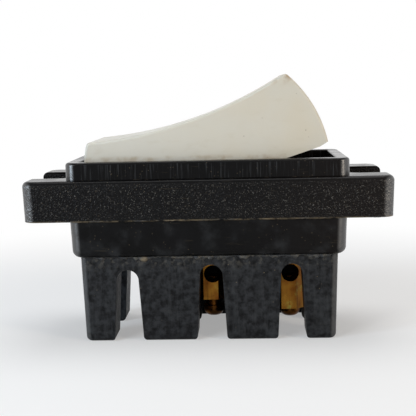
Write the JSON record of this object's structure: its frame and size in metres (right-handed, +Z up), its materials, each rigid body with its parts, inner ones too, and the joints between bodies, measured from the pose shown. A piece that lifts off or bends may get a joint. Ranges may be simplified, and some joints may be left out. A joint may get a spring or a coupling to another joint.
{
  "type": "rocker wiring switch",
  "caption": "Rocker wiring switch: white seesaw rocker in a black flanged housing with fixing ears, and screw terminals between the posts of its base.",
  "frame": {"origin": "midway between the two fixing holes, on the underside of the flange", "axes": "+X along the switch towards the rocker's raised end, +Y across it away from the terminals' near side, +Z up through the rocker, out of the panel"},
  "size_m": [0.06, 0.024, 0.0432],
  "materials": {
    "glossy_black_moulding": "glossy moulded phenolic, pebbled on the flange sides",
    "charcoal_moulding": "matte moulded phenolic",
    "white_moulding": "satin moulded urea, slightly yellowed",
    "steel": "plain zinc-plated steel",
    "spring_steel": "drawn wire",
    "fibre": "red-brown vulcanised fibre",
    "brass_strip": "rolled brass",
    "brass_block": "sawn and machined brass, slightly tarnished",
    "brass_screw": "dark tarnished brass",
    "silver_contact": "silver contact metal"
  },
  "bodies": {
    "base": {"base": "charcoal_moulding", "cover_plate": "glossy_black_moulding", "pivot_pin": "steel", "fulcrum_bracket": "brass_strip", "fixed_contact_strip": "brass_strip", "fixed_contact_tip": "silver_contact", "common_terminal": "brass_block", "load_terminal": "brass_block", "common_terminal_screw": "brass_screw", "load_terminal_screw": "brass_screw", "off_stop_pad": "fibre", "cover_screw_right": "steel", "cover_screw_left": "steel"},
    "rocker": {"rocker": "white_moulding", "plunger_spring": "spring_steel"},
    "plunger": {"plunger": "fibre"},
    "contact_arm": {"contact_arm": "brass_strip", "moving_contact_tip": "silver_contact"},
    "common_clamp_screw": {"common_clamp_screw": "brass_screw"},
    "load_clamp_screw": {"load_clamp_screw": "brass_screw"}
  },
  "joints": [
    {"name": "rocker_tilt", "type": "hinge", "parent": "base", "child": "rocker", "pos_m": [0, 0, 0.0076], "axis": [0, 1, 0], "range_deg": [0, 36]},
    {"name": "contact_arm_rock", "type": "hinge", "parent": "base", "child": "contact_arm", "pos_m": [0, 0, -0.0019], "axis": [0, 1, 0], "range_deg": [-16, 0]},
    {"name": "plunger_slide", "type": "slide", "parent": "rocker", "child": "plunger", "axis": [-0.309, 0, 0.9511], "range_m": [0, 0.0012], "stiffness_N_per_m": 400, "springref_m": -0.002, "deforming": ["plunger_spring"]},
    {"name": "common_clamp_travel", "type": "slide", "parent": "base", "child": "common_clamp_screw", "axis": [0, 0, 1], "range_m": [-0.0008, 0.0014]},
    {"name": "load_clamp_travel", "type": "slide", "parent": "base", "child": "load_clamp_screw", "axis": [0, 0, -1], "range_m": [0, 0.0016]}
  ],
  "couplings": [
    {"joint": "contact_arm_rock", "follows": "rocker_tilt", "ratio": -0.44444}
  ]
}
